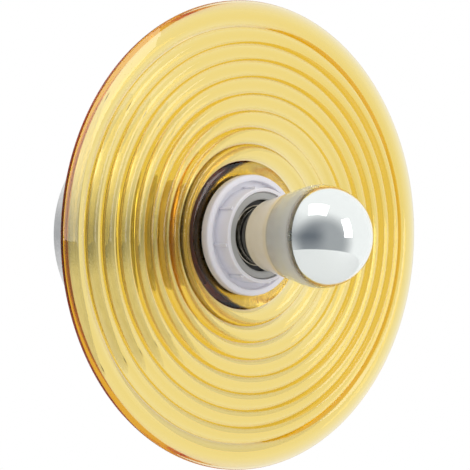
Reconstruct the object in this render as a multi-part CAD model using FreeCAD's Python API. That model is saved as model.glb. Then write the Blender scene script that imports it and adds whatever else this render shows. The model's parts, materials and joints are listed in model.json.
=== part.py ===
"""Wall light: a ribbed amber glass disc on a spun metal base, with a lampholder and a crown-silvered bulb.

Millimetres. The lamp's axis is the Y axis. The wall is the plane y = 0 and the lamp faces -Y, with +Z up.
Along the axis, "depth" is the distance in front of the wall, so a point at depth d has y = -d.
"""
import FreeCAD, Part
import math
import os

from FreeCAD import Vector

# ---- running and assembly clearances ----------------------------------------------------------
seat_gap = 0.1           # between fixed pieces that fit inside each other
screw_gap = 0.05         # screw shank to its threaded hole
thread_gap = 0.3         # thread envelope to thread envelope, on the radius
loose_gap = 0.35         # hole round the lampholder skirt
wire_gap = 0.1           # wire to the hole that it enters

# ---- wall plate -------------------------------------------------------------------------------
plate_to_cup = 4.0       # gap between the plate and the cup, all round
plate_t = 2.0
slot_spacing = 70.0      # wall screws, side by side
slot_width = 5.0
slot_length = 14.0
cable_hole_r = 6.5
cable_hole_z = 27.0
cable_bore_r = 4.0
grommet_flange_r = 9.0
grommet_flange_t = 2.0
grommet_length = 6.0
lug_width = 14.0
lug_t = 2.0
lug_depth = 13.5
cup_screw_depth = 8.0
cup_screw_r = 2.0
cup_screw_head_r = 3.8
cup_screw_head_t = 2.2
cup_screw_reach = 4.0    # how far the shank passes the inside of its lug

# ---- base cup ---------------------------------------------------------------------------------
cup_r = 54.5
cup_t = 1.5
cup_band = 14.0          # straight band at the wall
cup_draft = 14.0         # degrees, the cone in front of the band
cup_shoulder_r = 16.0
lug_to_cup = 0.4

# ---- lampholder skirt: what the glass and the rings are stacked on ----------------------------
skirt_wall = 2.45
skirt_length = 37.6
skirt_lip_w = 1.0        # how far the front lip reaches inward
skirt_lip_t = 2.2
stack_depth = 73.1       # outer face of the cup's front wall
rear_gasket_t = 1.0
front_gasket_t = 0.6
gasket_inset = 1.4       # gaskets end this far inside the shade ring
skirt_proud = 10.4       # skirt rim in front of the shade ring's back face

# ---- glass disc -------------------------------------------------------------------------------
glass_r = 106.7
glass_t = 4.5
glass_hole_gap = 1.05    # glass hole to skirt, on the radius
hub_margin = 1.1         # flat hub past the shade ring
dish_rise = 10.2         # highest ring of the front over the hub
rim_drop = 2.2           # the rim falls back from the highest ring
first_rib_w = 5.4        # hub to the innermost groove
rim_band_w = 11.7        # outermost groove to the edge
rib_grooves = 9
rib_depth = 2.8
rib_fade = 5.0           # width of the last half rib, which fades into the rim band
rib_fade_share = 0.3     # of the rib's depth that is left half way along the fade
crest_groove = 5.25      # highest place of the dish, in grooves from the innermost
glass_edge_t = 1.6       # the rim thins to this, with a fully rounded edge
thin_from_groove = 3.5   # outermost groove to where the back starts to thin

# ---- shade ring and rear ring -----------------------------------------------------------------
ring_flange_t = 4.6
ring_bead = 3.0          # radial width of the outer bead
ring_recess_w = 3.2      # radial width of the recess
rear_recess_w = 0.3
ring_recess = 3.0        # depth of the recess between bead and collar
ring_collar_t = 1.65
ring_collar_h = 11.2     # collar front over the ring's back face
rear_collar_h = 12.0
ring_fins = 8
ring_fin_t = 1.5
ring_fin_h = 0.8
ring_fin_stop = 1.0      # fins end this far behind the collar's front
ring_fin_turn = 33.0     # first fin, degrees round from the top
ring_round = 1.2
ring_lip_round = 0.66

# ---- lampholder insert, shell and contacts ----------------------------------------------------
insert_wall = 3.2
shell_to_cap = 0.4       # shell's thread roots to the cap's thread crests
insert_floor = 6.0
insert_front_gap = 1.4   # insert front to the skirt's lip
terminal_x = 8.5
terminal_l = 7.0
terminal_h = 6.0
terminal_wire_z = 4.0
terminal_low_z = -3.0
terminal_high_z = 7.0
rivet_r = 1.2
rivet_head_r = 2.2
rivet_head_t = 0.6
shell_t = 0.4
shell_flange_w = 5.2     # width of the shell's foot flange
leaf_t = 0.5
leaf_width = 5.0
leaf_slot = 1.8          # depth of the slot that the live leaf lies in
leaf_top_from = -1.5     # the leaf's flat top, across the axis
leaf_top_to = 2.5
contact_gap = 0.3        # bulb tip to the leaf
terminal_screw_r = 1.25
terminal_screw_head_r = 2.3
terminal_screw_head_t = 1.4

# ---- lampholder cap ---------------------------------------------------------------------------
cap_wall = 2.0
cap_straight = 6.0
cap_spigot_l = 5.0
cap_spigot_t = 1.6
cap_dome = 8.0
cap_boss_wall = 3.0
cap_boss_l = 5.0
cap_entry_r = 5.0
bush_wall = 1.5
bush_flange_w = 2.0
bush_flange_t = 1.5

# ---- bulb: 45 mm crown-silvered globe on a 27 mm screw cap ------------------------------------
ball_r = 22.5
ball_from_rim = 37.6     # ball centre in front of the skirt's rim
bulb_glass_t = 0.8
neck_flare = 4.2         # the neck stands this far over its root
neck_root_gap = 0.45     # cement between cap and glass
neck_shoulder = 4.2
neck_in_cap = 8.0
screwcap_r = 13.1
screwcap_t = 0.35
screwcap_l = 19.5        # threaded shell, without insulator and tip
screwcap_proud = 3.7     # cap rim in front of the skirt's rim
screwcap_taper = 1.9     # the foot is this much smaller than the thread
screwcap_shoulder = 1.6
screwcap_lip_w = 3.0
insulator_h = 4.6
insulator_tip_r = 5.5
tip_r = 4.8
tip_h = 2.4
mirror_t = 0.15
mirror_start = 4.2       # the silvering starts this far in front of the ball's centre
stem_r = 2.6
stem_l = 22.0
lead_r = 0.35
lead_x = 5.0
lead_straight = 2.0      # out of the stem before the leads spread
lead_spread = 9.0
lead_l = 38.0
filament_r = 0.45
filament_sag = 4.0

# ---- terminal block ---------------------------------------------------------------------------
block_z = -26.0
block_pole_pitch = 10.0
block_poles = 3
block_pole_w = 8.0
block_l = 17.0
block_h = 12.5
block_web_h = 7.0
block_web_l = 9.0
block_bore_depth = 5.5   # wire bore over the plate's face
insert_tube_r = 2.6
insert_tube_bore_r = 1.6
insert_tube_l = 15.0
block_screw_r = 1.3
block_screw_pitch = 8.0
block_screw_l = 6.5
block_well_r = 1.9
block_fixing_r = 1.5
block_fixing_head_r = 2.3
block_fixing_head_t = 1.8

# ---- earth screw and wires --------------------------------------------------------------------
earth_x = 21.0
earth_z = 14.0
earth_screw_r = 2.0
earth_head_r = 3.6
earth_head_t = 2.4
earth_screw_l = 1.9      # thread in the plate
tag_r = 4.2
tag_t = 0.8
tag_barrel_l = 7.0
wire_r = 1.1
wire_into_block = 2.0
wire_into_terminal = 3.0

# ---- places worked out from the above ---------------------------------------------------------
shell_inner_r = screwcap_r + shell_to_cap
shell_outer_r = shell_inner_r + shell_t
shell_flange_r = shell_outer_r - shell_flange_w
insert_bore_r = shell_outer_r + seat_gap
insert_r = insert_bore_r + insert_wall
skirt_bore_r = insert_r + seat_gap
skirt_r = skirt_bore_r + skirt_wall
skirt_lip_r = skirt_bore_r - skirt_lip_w
ring_bore_r = skirt_r + thread_gap
ring_collar_r = ring_bore_r + ring_collar_t
ring_r = ring_collar_r + ring_recess_w + ring_bead
gasket_r = ring_r - gasket_inset
neck_root_r = screwcap_r - screwcap_t - neck_root_gap
neck_r = neck_root_r + neck_flare
screwcap_foot_r = screwcap_r - screwcap_taper
plate_r = cup_r - cup_t - plate_to_cup
cap_boss_r = cap_entry_r + cap_boss_wall
bush_bore_r = cap_entry_r - seat_gap - bush_wall
bush_flange_r = cap_entry_r + bush_flange_w
hub_flat_r = ring_r + hub_margin
rib_first_r = hub_flat_r + first_rib_w
rib_last_r = glass_r - rim_band_w
rib_pitch = (rib_last_r - rib_first_r) / (rib_grooves - 1)
dish_crest_r = rib_first_r + crest_groove * rib_pitch
glass_end_r = glass_r - glass_edge_t / 2
thin_start_r = rib_last_r + thin_from_groove
cup_front = stack_depth
glass_back = cup_front + rear_gasket_t
hub_front = glass_back + glass_t
ring_back = hub_front + front_gasket_t
skirt_front = ring_back + skirt_proud
skirt_back = skirt_front - skirt_length
ball_depth = skirt_front + ball_from_rim
screwcap_front = skirt_front + screwcap_proud
screwcap_back = screwcap_front - screwcap_l
tip_depth = screwcap_back - insulator_h - tip_h
insert_front = skirt_front - skirt_lip_t - insert_front_gap
floor_front = tip_depth - contact_gap - leaf_slot
insert_back = floor_front - insert_floor
block_face = plate_t
block_bore = block_face + block_bore_depth
glass_hole_r = skirt_r + glass_hole_gap

AXIS = Vector(0, 1, 0)
ORIGIN = Vector(0, 0, 0)
FORWARD = Vector(0, -1, 0)
UP = Vector(0, 0, 1)
RIGHT = Vector(1, 0, 0)


# ---- helpers ----------------------------------------------------------------------------------
def at(radius, depth):
    """A point of a turned piece's outline."""
    return Vector(radius, -depth, 0)


def place(x, depth, z):
    """A point in the lamp, depth being the distance in front of the wall."""
    return Vector(x, -depth, z)


def line(a, b):
    return Part.LineSegment(a, b).toShape()


def arc(a, through, b):
    return Part.Arc(a, through, b).toShape()


def corner_arc(corner, before, after, radius):
    """The tangent arc that rounds a corner: its two ends and its middle point."""
    back = (before - corner).normalize()
    on = (after - corner).normalize()
    half = back.getAngle(on) / 2
    reach = radius / math.tan(half)
    inward = (back + on).normalize()
    middle = corner + inward * (radius / math.sin(half) - radius)
    return corner + back * reach, middle, corner + on * reach


def turned(edges):
    """A closed outline, turned once round the lamp's axis."""
    face = Part.Face(Part.Wire(Part.__sortEdges__(edges)))
    return face.revolve(ORIGIN, AXIS, 360)


def turned_polygon(points):
    closed = points + [points[0]]
    return turned([line(a, b) for a, b in zip(closed, closed[1:])])


def tube(outer, inner, back, front):
    """A plain ring or tube on the lamp's axis, between two depths."""
    return turned_polygon([at(inner, back), at(outer, back), at(outer, front), at(inner, front)])


def rod(radius, start, direction, length):
    return Part.makeCylinder(radius, length, start, direction)


def box(x0, x1, back, front, z0, z1):
    """A block between two depths."""
    return Part.makeBox(x1 - x0, front - back, z1 - z0, place(x0, front, z0))


def about_axis(shape, degrees):
    turned_copy = shape.copy()
    turned_copy.rotate(ORIGIN, AXIS, degrees)
    return turned_copy


def screw(start, direction, shank_r, shank_l, head_r, head_t):
    """A slotted pan-head screw. start is under the head, and direction points from the head to the tip."""
    back = direction * -1
    body = rod(shank_r, start, direction, shank_l).fuse(rod(head_r, start, back, head_t))
    side = direction.cross(RIGHT) if abs(direction.dot(RIGHT)) < 0.5 else UP
    slot_w = head_r * 0.28
    slot_d = head_t * 0.45
    across = direction.cross(side)
    base = start + back * (head_t - slot_d) - side * head_r - across * (slot_w / 2)
    corners = [base, base + side * 2 * head_r, base + side * 2 * head_r + across * slot_w,
               base + across * slot_w, base]
    slot = Part.Face(Part.makePolygon(corners)).extrude(back * slot_d * 2)
    return body.cut(slot).removeSplitter()


def rounded_route(points):
    """Straight runs joined by tangent arcs. Each arc takes 0.45 of its shorter run."""
    edges = []
    radii = []
    last = points[0]
    for before, corner, after in zip(points, points[1:], points[2:]):
        turn = (corner - before).getAngle(after - corner)
        shorter = min((corner - before).Length, (after - corner).Length)
        radius = 0.45 * shorter / math.tan(turn / 2)
        radii.append(radius)
        start, middle, end = corner_arc(corner, before, after, radius)
        edges.append(line(last, start))
        edges.append(arc(start, middle, end))
        last = end
    edges.append(line(last, points[-1]))
    return edges, radii


def wire(name, points):
    """A round insulated wire along a rounded route."""
    edges, radii = rounded_route(points)
    path = Part.Wire(edges)
    section = Part.Wire(Part.makeCircle(wire_r, points[0], points[1] - points[0]))
    solid = path.makePipeShell([section], True, False)
    ideal = math.pi * wire_r ** 2 * path.Length
    share = solid.Volume / ideal
    print(f"{name}: length {path.Length:.1f}, smallest radius {min(radii):.1f}, volume share {share:.4f}")
    return solid


# ---- wall plate and what is on it -------------------------------------------------------------
def lug_face():
    """Height of a lug's outer face over the axis: just inside the cup's band, at the lug's corners."""
    inner = cup_r - cup_t
    return math.sqrt(inner ** 2 - (lug_width / 2) ** 2) - lug_to_cup


def wall_slot(x):
    half = (slot_length - slot_width) / 2
    body = box(x - half, x + half, -1, plate_t + 1, -slot_width / 2, slot_width / 2)
    for end in (x - half, x + half):
        body = body.fuse(rod(slot_width / 2, place(end, -1, 0), FORWARD, plate_t + 2))
    return body


def wall_plate():
    plate = rod(plate_r, ORIGIN, FORWARD, plate_t)
    outer = lug_face()
    for side in (1, -1):
        low, high = sorted((side * (plate_r - lug_width / 2), side * outer))
        plate = plate.fuse(box(-lug_width / 2, lug_width / 2, 0, plate_t, low, high))
        low, high = sorted((side * (outer - lug_t), side * outer))
        lug = box(-lug_width / 2, lug_width / 2, 0, lug_depth, low, high)
        start = place(0, cup_screw_depth, side * (outer + 1))
        hole = rod(cup_screw_r + screw_gap, start, UP * -side, lug_t + 2)
        plate = plate.fuse(lug).cut(hole)
    for x in (-slot_spacing / 2, slot_spacing / 2):
        plate = plate.cut(wall_slot(x))
    plate = plate.cut(rod(cable_hole_r, place(0, -1, cable_hole_z), FORWARD, plate_t + 2))
    plate = plate.cut(rod(earth_screw_r + screw_gap, place(earth_x, -1, earth_z), FORWARD, plate_t + 2))
    fixing = place(block_pole_pitch / 2, -1, block_z)
    plate = plate.cut(rod(block_fixing_r + screw_gap, fixing, FORWARD, plate_t + 2))
    return plate.removeSplitter()


def cable_grommet():
    sleeve = rod(cable_hole_r - seat_gap, place(0, 0, cable_hole_z), FORWARD, grommet_length)
    flange = rod(grommet_flange_r, place(0, plate_t, cable_hole_z), FORWARD, grommet_flange_t)
    bore = rod(cable_bore_r, place(0, -1, cable_hole_z), FORWARD, grommet_length + 2)
    return sleeve.fuse(flange).cut(bore).removeSplitter()


def cup_screws():
    shank = cup_r - lug_face() + lug_t + cup_screw_reach
    made = []
    for side in (1, -1):
        start = place(0, cup_screw_depth, side * cup_r)
        made.append(screw(start, UP * -side, cup_screw_r, shank, cup_screw_head_r, cup_screw_head_t))
    return Part.makeCompound(made)


def earth_screw():
    start = place(earth_x, plate_t + tag_t, earth_z)
    return screw(start, FORWARD * -1, earth_screw_r, earth_screw_l + tag_t, earth_head_r, earth_head_t)


def tag_barrel_top():
    """The barrel starts clear of the screw's head, where it still meets the ring."""
    return earth_z - earth_head_r - seat_gap


def earth_tag():
    """Ring tag under the earth screw, with a barrel that holds the wire. The barrel points down."""
    ring = rod(tag_r, place(earth_x, plate_t, earth_z), FORWARD, tag_t)
    barrel_r = wire_r + wire_gap + tag_t
    barrel_depth = plate_t + barrel_r
    top = tag_barrel_top()
    barrel = rod(barrel_r, place(earth_x, barrel_depth, top), UP * -1, tag_barrel_l)
    bore = rod(wire_r + wire_gap, place(earth_x, barrel_depth, top - tag_t), UP * -1, tag_barrel_l)
    hole = rod(earth_screw_r + screw_gap, place(earth_x, plate_t - 1, earth_z), FORWARD, tag_t + 2)
    return ring.cut(hole).fuse(barrel).cut(bore).removeSplitter()


# ---- terminal block ---------------------------------------------------------------------------
def pole_positions():
    middle = (block_poles - 1) / 2
    return [(i - middle) * block_pole_pitch for i in range(block_poles)]


def pole_screw_positions():
    return [(x, block_z + side * block_screw_pitch / 2) for x in pole_positions() for side in (1, -1)]


def terminal_block():
    top = block_face + block_h
    first, last = pole_positions()[0], pole_positions()[-1]
    half_web = block_web_l / 2
    body = box(first, last, block_face, block_face + block_web_h, block_z - half_web, block_z + half_web)
    half = block_pole_w / 2
    low, high = block_z - block_l / 2, block_z + block_l / 2
    for x in pole_positions():
        body = body.fuse(box(x - half, x + half, block_face, top, low, high))
    for x in pole_positions():
        start = place(x, block_bore, low - 1)
        body = body.cut(rod(insert_tube_r + seat_gap, start, UP, block_l + 2))
    for x, z in pole_screw_positions():
        body = body.cut(rod(block_well_r, place(x, block_bore, z), FORWARD, block_h))
    fixing = place(block_pole_pitch / 2, block_face - 1, block_z)
    body = body.cut(rod(block_fixing_r + screw_gap, fixing, FORWARD, block_h))
    well = place(block_pole_pitch / 2, block_face + block_web_h, block_z)
    body = body.cut(rod(block_fixing_head_r + seat_gap, well, FORWARD, block_h))
    return body.removeSplitter()


def terminal_inserts():
    made = []
    for x in pole_positions():
        start = place(x, block_bore, block_z - insert_tube_l / 2)
        sleeve = rod(insert_tube_r, start, UP, insert_tube_l)
        sleeve = sleeve.cut(rod(insert_tube_bore_r, start, UP, insert_tube_l))
        for px, pz in pole_screw_positions():
            if px == x:
                hole = rod(block_screw_r + screw_gap, place(px, block_bore, pz), FORWARD, block_h)
                sleeve = sleeve.cut(hole)
        made.append(sleeve)
    return Part.makeCompound(made)


def terminal_screws():
    made = []
    head_t = block_screw_r
    for x, z in pole_screw_positions():
        shank_l = block_screw_l - head_t
        start = place(x, block_bore + shank_l, z)
        made.append(screw(start, FORWARD * -1, block_screw_r, shank_l, block_well_r - seat_gap, head_t))
    return Part.makeCompound(made)


def terminal_block_screw():
    start = place(block_pole_pitch / 2, block_face + block_web_h, block_z)
    length = block_web_h + plate_t - seat_gap
    return screw(start, FORWARD * -1, block_fixing_r, length, block_fixing_head_r, block_fixing_head_t)


# ---- base cup ---------------------------------------------------------------------------------
def cup_outline(inset):
    """Outline of the cup, moved inward by inset, from the wall to the middle of the front."""
    front = cup_front - inset
    radius = cup_r - inset
    lean = math.tan(math.radians(cup_draft))
    band_end = cup_band - inset * math.tan(math.radians(cup_draft) / 2)
    corner = at(radius - (front - band_end) * lean, front)
    bend = at(radius, band_end)
    start, middle, end = corner_arc(corner, bend, at(0, front), cup_shoulder_r - inset)
    return [at(radius, 0), bend, start, middle, end, at(0, front)]


def solid_cup(inset):
    rim, bend, start, middle, end, centre = cup_outline(inset)
    return turned([line(ORIGIN, rim), line(rim, bend), line(bend, start), arc(start, middle, end),
                   line(end, centre), line(centre, ORIGIN)])


def base_cup():
    cup = solid_cup(0).cut(solid_cup(cup_t))
    inside = place(0, cup_front - cup_shoulder_r, 0)
    cup = cup.cut(rod(skirt_r + loose_gap, inside, FORWARD, cup_shoulder_r * 2))
    for side in (1, -1):
        start = place(0, cup_screw_depth, side * (cup_r - 2 * cup_t))
        cup = cup.cut(rod(cup_screw_r + loose_gap, start, UP * side, 4 * cup_t))
    return cup


def rear_gasket():
    return tube(gasket_r, skirt_r + loose_gap, cup_front, glass_back)


# ---- rings on the skirt -----------------------------------------------------------------------
def front_edges(body, radius, depth):
    """The circular edges of a turned body at one radius and depth."""
    return [e for e in body.Edges
            if abs(e.BoundBox.XMax - radius) < 0.01 and abs(-e.BoundBox.YMin - depth) < 0.01
            and e.BoundBox.YLength < 0.01]


def ring_body(recess_w, collar_h):
    """A threaded ring, its back face at depth 0: a flange with a bead, a recess and a collar with fins."""
    floor = ring_flange_t - ring_recess
    bead_in = ring_collar_r + recess_w
    outer_r = bead_in + ring_bead
    outline = [at(ring_bore_r, 0), at(outer_r, 0), at(outer_r, ring_flange_t), at(bead_in, ring_flange_t),
               at(bead_in, floor), at(ring_collar_r, floor), at(ring_collar_r, collar_h),
               at(ring_bore_r, collar_h)]
    body = turned_polygon(outline)
    body = body.makeFillet(ring_round, front_edges(body, outer_r, ring_flange_t))
    body = body.makeFillet(ring_lip_round, front_edges(body, ring_collar_r, collar_h))
    fin = box(-ring_fin_t / 2, ring_fin_t / 2, floor, collar_h - ring_fin_stop,
              ring_collar_r - ring_collar_t / 2, ring_collar_r + ring_fin_h)
    for i in range(ring_fins):
        body = body.fuse(about_axis(fin, ring_fin_turn + 360 / ring_fins * i))
    return body.removeSplitter()


def shade_ring():
    body = ring_body(ring_recess_w, ring_collar_h)
    body.translate(FORWARD * ring_back)
    return body


def rear_ring():
    """The same kind of ring, turned round, which holds the cup's front wall from inside."""
    body = ring_body(rear_recess_w, rear_collar_h)
    body.rotate(ORIGIN, UP, 180)
    body.translate(FORWARD * (cup_front - cup_t))
    return body


def front_gasket():
    return tube(gasket_r, glass_hole_r, hub_front, ring_back)


# ---- glass disc -------------------------------------------------------------------------------
def glass_front(radius):
    """Depth of the disc's front over the ribs: a dish with a sunk hub and a rim that falls back a little."""
    if radius <= hub_flat_r:
        return hub_front
    crest = hub_front + dish_rise
    if radius <= dish_crest_r:
        return crest - dish_rise * ((dish_crest_r - radius) / (dish_crest_r - hub_flat_r)) ** 2
    return crest - rim_drop * ((radius - dish_crest_r) / (glass_r - dish_crest_r)) ** 2


def groove(i):
    radius = rib_first_r + i * rib_pitch
    return at(radius, glass_front(radius) - rib_depth)


def rib_edges():
    """The front outline: hub, one rounded rib between each two grooves, and the plain rim band."""
    edges = [line(at(glass_hole_r, hub_front), at(hub_flat_r, hub_front))]
    middle = (hub_flat_r + rib_first_r) / 2
    edges.append(arc(at(hub_flat_r, hub_front), at(middle, glass_front(middle)), groove(0)))
    for i in range(rib_grooves - 1):
        crest_r = rib_first_r + (i + 0.5) * rib_pitch
        edges.append(arc(groove(i), at(crest_r, glass_front(crest_r)), groove(i + 1)))
    fade_r = rib_last_r + rib_fade
    half_r = rib_last_r + rib_fade / 2
    edges.append(arc(groove(rib_grooves - 1), at(half_r, glass_front(half_r) - rib_depth * rib_fade_share),
                     at(fade_r, glass_front(fade_r))))
    mid_r = (fade_r + glass_end_r) / 2
    edges.append(arc(at(fade_r, glass_front(fade_r)), at(mid_r, glass_front(mid_r)),
                     at(glass_end_r, glass_front(glass_end_r))))
    return edges


def behind(radius):
    """Depth of the smooth back: the front's dish, one thickness behind it, which thins to the edge."""
    thin = max(0, (radius - thin_start_r) / (glass_end_r - thin_start_r))
    return glass_front(radius) - glass_t + (glass_t - glass_edge_t) * thin ** 2


def glass_back_edges():
    edges = [line(at(glass_hole_r, glass_back), at(hub_flat_r, glass_back))]
    stations = [hub_flat_r, dish_crest_r, thin_start_r, glass_end_r]
    for a, b in zip(stations, stations[1:]):
        middle = (a + b) / 2
        edges.append(arc(at(a, behind(a)), at(middle, behind(middle)), at(b, behind(b))))
    return edges


def glass_disc():
    edges = rib_edges() + glass_back_edges()
    edges.append(line(at(glass_hole_r, glass_back), at(glass_hole_r, hub_front)))
    front = glass_front(glass_end_r)
    edges.append(arc(at(glass_end_r, front), at(glass_r, front - glass_edge_t / 2),
                     at(glass_end_r, front - glass_edge_t)))
    return turned(edges)


# ---- lampholder -------------------------------------------------------------------------------
def holder_skirt():
    lip_back = skirt_front - skirt_lip_t
    return turned_polygon([at(skirt_bore_r, skirt_back), at(skirt_r, skirt_back),
                           at(skirt_r, skirt_front), at(skirt_lip_r, skirt_front),
                           at(skirt_lip_r, lip_back), at(skirt_bore_r, lip_back)])


def holder_insert():
    """Black moulded cup for the screw shell, with a slot for the live leaf and holes for two rivets."""
    cup = turned_polygon([at(0, insert_back), at(insert_r, insert_back), at(insert_r, insert_front),
                          at(insert_bore_r, insert_front), at(insert_bore_r, floor_front),
                          at(0, floor_front)])
    half = leaf_width / 2 + loose_gap
    slot = box(-terminal_x - rivet_head_r - 1, leaf_width, floor_front - leaf_slot, floor_front, -half, half)
    cup = cup.cut(slot)
    for x in (-terminal_x, terminal_x):
        cup = cup.cut(rod(rivet_r + screw_gap, place(x, insert_back - 1, 0), FORWARD, insert_floor + 2))
    return cup.removeSplitter()


def screw_shell():
    """Threaded brass shell, drawn at its thread roots, with a foot flange that is riveted to the floor."""
    shell = turned_polygon([at(shell_flange_r, floor_front), at(shell_outer_r, floor_front),
                            at(shell_outer_r, insert_front), at(shell_inner_r, insert_front),
                            at(shell_inner_r, floor_front + shell_t),
                            at(shell_flange_r, floor_front + shell_t)])
    notch_half = leaf_width / 2 + 1
    notch = box(-shell_inner_r + shell_t, 0, floor_front - 1, floor_front + 1, -notch_half, notch_half)
    hole = rod(rivet_r + screw_gap, place(terminal_x, insert_back, 0), FORWARD, insert_floor * 2)
    extra = rod(rivet_head_r, place(terminal_x, floor_front, 0), FORWARD, shell_t)
    return shell.fuse(extra).cut(notch).cut(hole).removeSplitter()


def centre_contact():
    """Sprung live leaf: flat at its rivet, then bent up to the bulb's tip."""
    low = floor_front - leaf_slot
    high = tip_depth - contact_gap
    foot_end = -terminal_x - rivet_head_r
    bend = -terminal_x + rivet_head_r + 1
    top = high - leaf_t
    path = [place(foot_end, low, 0), place(bend, low, 0),
            place(leaf_top_from, top, 0), place(leaf_top_to, top, 0)]
    outline = path + [p + FORWARD * leaf_t for p in reversed(path)]
    face = Part.Face(Part.makePolygon(outline + [outline[0]]))
    leaf = face.extrude(UP * leaf_width)
    leaf.translate(UP * (-leaf_width / 2))
    return leaf.cut(rod(rivet_r + screw_gap, place(-terminal_x, low - 1, 0), FORWARD, leaf_t + 2))


def rivets():
    """One rivet through the shell's foot, one through the live leaf, each into its terminal."""
    tail = insert_back - terminal_h / 2
    made = []
    for x, head in ((terminal_x, floor_front + shell_t), (-terminal_x, floor_front - leaf_slot + leaf_t)):
        shank = rod(rivet_r, place(x, tail, 0), FORWARD, head - tail)
        made.append(shank.fuse(rod(rivet_head_r, place(x, head, 0), FORWARD, rivet_head_t)).removeSplitter())
    return Part.makeCompound(made)


def terminal_saddle(side):
    """Brass terminal behind the insert: takes the rivet's tail, the wire and the clamping screw."""
    x0, x1 = sorted((side * (terminal_x - terminal_l / 2), side * (terminal_x + terminal_l / 2)))
    back = insert_back - terminal_h
    body = box(x0, x1, back, insert_back, terminal_low_z, terminal_high_z)
    body = body.cut(rod(rivet_r + screw_gap, place(side * terminal_x, back - 1, 0), FORWARD, terminal_h + 2))
    body = body.cut(rod(wire_r + wire_gap, place(side * terminal_x, back - 1, terminal_wire_z), FORWARD,
                        terminal_h + 2))
    start = place(side * terminal_x, back + terminal_h / 2, terminal_wire_z)
    return body.cut(rod(terminal_screw_r + screw_gap, start, RIGHT * side, terminal_l))


def holder_terminals():
    return Part.makeCompound([terminal_saddle(1), terminal_saddle(-1)])


def holder_terminal_screws():
    made = []
    for side in (1, -1):
        start = place(side * (terminal_x + terminal_l / 2), insert_back - terminal_h / 2, terminal_wire_z)
        reach = terminal_l / 2 - wire_r - wire_gap
        made.append(screw(start, RIGHT * -side, terminal_screw_r, reach, terminal_screw_head_r,
                          terminal_screw_head_t))
    return Part.makeCompound(made)


def holder_cap():
    """Rear cover of the lampholder: a spigot in the skirt, a domed body and a threaded entry."""
    spigot_r = skirt_bore_r - seat_gap
    inner = spigot_r - cap_spigot_t
    straight = skirt_back - cap_straight
    dome = straight - cap_dome
    back = dome - cap_boss_l
    middle_r = cap_boss_r + (skirt_r - cap_boss_r) * 0.8
    outer_mid = at(middle_r, straight - cap_dome * 0.6)
    inner_mid = at(middle_r - cap_wall, straight - cap_dome * 0.6 + cap_wall * 0.7)
    edges = [line(at(inner, skirt_back + cap_spigot_l), at(spigot_r, skirt_back + cap_spigot_l)),
             line(at(spigot_r, skirt_back + cap_spigot_l), at(spigot_r, skirt_back)),
             line(at(spigot_r, skirt_back), at(skirt_r, skirt_back)),
             line(at(skirt_r, skirt_back), at(skirt_r, straight)),
             arc(at(skirt_r, straight), outer_mid, at(cap_boss_r, dome)),
             line(at(cap_boss_r, dome), at(cap_boss_r, back)),
             line(at(cap_boss_r, back), at(cap_entry_r, back)),
             line(at(cap_entry_r, back), at(cap_entry_r, dome + cap_wall)),
             arc(at(cap_entry_r, dome + cap_wall), inner_mid, at(inner, straight)),
             line(at(inner, straight), at(inner, skirt_back + cap_spigot_l))]
    return turned(edges)


def entry_bush():
    """Flanged bush in the cap's entry, which the wires pass through."""
    back = skirt_back - cap_straight - cap_dome - cap_boss_l
    sleeve_r = cap_entry_r - seat_gap
    return turned_polygon([at(bush_bore_r, back - bush_flange_t), at(bush_flange_r, back - bush_flange_t),
                           at(bush_flange_r, back), at(sleeve_r, back), at(sleeve_r, back + cap_boss_l),
                           at(bush_bore_r, back + cap_boss_l)])


# ---- bulb -------------------------------------------------------------------------------------
def bulb_outline(inset):
    """Neck and ball of the glass envelope, moved inward by inset. Returns the edges and their two ends."""
    ball = ball_r - inset
    root_r = neck_root_r - inset
    neck = neck_r - inset
    root = screwcap_front - neck_in_cap
    turn = screwcap_front + seat_gap
    shoulder = turn + neck_shoulder
    distance = math.hypot(neck, ball_depth - shoulder)
    lean = math.asin(ball / distance) - math.atan2(neck, ball_depth - shoulder)
    touch = at(ball * math.cos(lean), ball_depth - ball * math.sin(lean))
    half = (math.pi / 2 - lean) / 2 + lean
    side = at(ball * math.cos(lean - half), ball_depth - ball * math.sin(lean - half))
    pole = at(0, ball_depth + ball)
    bulge = at(root_r + (neck - root_r) * 0.72, turn + neck_shoulder * 0.3)
    edges = [line(at(root_r, root), at(root_r, turn)), arc(at(root_r, turn), bulge, at(neck, shoulder)),
             line(at(neck, shoulder), touch), arc(touch, side, pole)]
    return edges, at(root_r, root), pole


def bulb_glass():
    outer, outer_root, outer_pole = bulb_outline(0)
    inner, inner_root, inner_pole = bulb_outline(bulb_glass_t)
    return turned(outer + inner + [line(outer_root, inner_root), line(outer_pole, inner_pole)])


def mirror_arc(radius):
    """Half outline of a spherical cap that starts just in front of the ball's centre."""
    angle = math.asin(mirror_start / radius)
    half = (angle + math.pi / 2) / 2
    return (at(radius * math.cos(angle), ball_depth + radius * math.sin(angle)),
            at(radius * math.cos(half), ball_depth + radius * math.sin(half)),
            at(0, ball_depth + radius))


def bulb_mirror():
    """Silvering on the inside of the crown."""
    outer = mirror_arc(ball_r - bulb_glass_t)
    inner = mirror_arc(ball_r - bulb_glass_t - mirror_t)
    return turned([arc(*outer), arc(*inner), line(outer[0], inner[0]), line(outer[2], inner[2])])


def bulb_cap():
    """Screw shell of the bulb, drawn at its thread crests."""
    t = screwcap_t
    shoulder = screwcap_back + screwcap_shoulder
    lip_r = screwcap_foot_r - screwcap_lip_w
    return turned_polygon([at(lip_r, screwcap_back), at(screwcap_foot_r, screwcap_back),
                           at(screwcap_r, shoulder), at(screwcap_r, screwcap_front),
                           at(screwcap_r - t, screwcap_front),
                           at(screwcap_r - t, shoulder + t), at(screwcap_foot_r - t, screwcap_back + t),
                           at(lip_r, screwcap_back + t)])


def bulb_insulator():
    back = screwcap_back - insulator_h
    return turned_polygon([at(1, back), at(insulator_tip_r, back), at(screwcap_foot_r, screwcap_back),
                           at(1, screwcap_back)])


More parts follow.
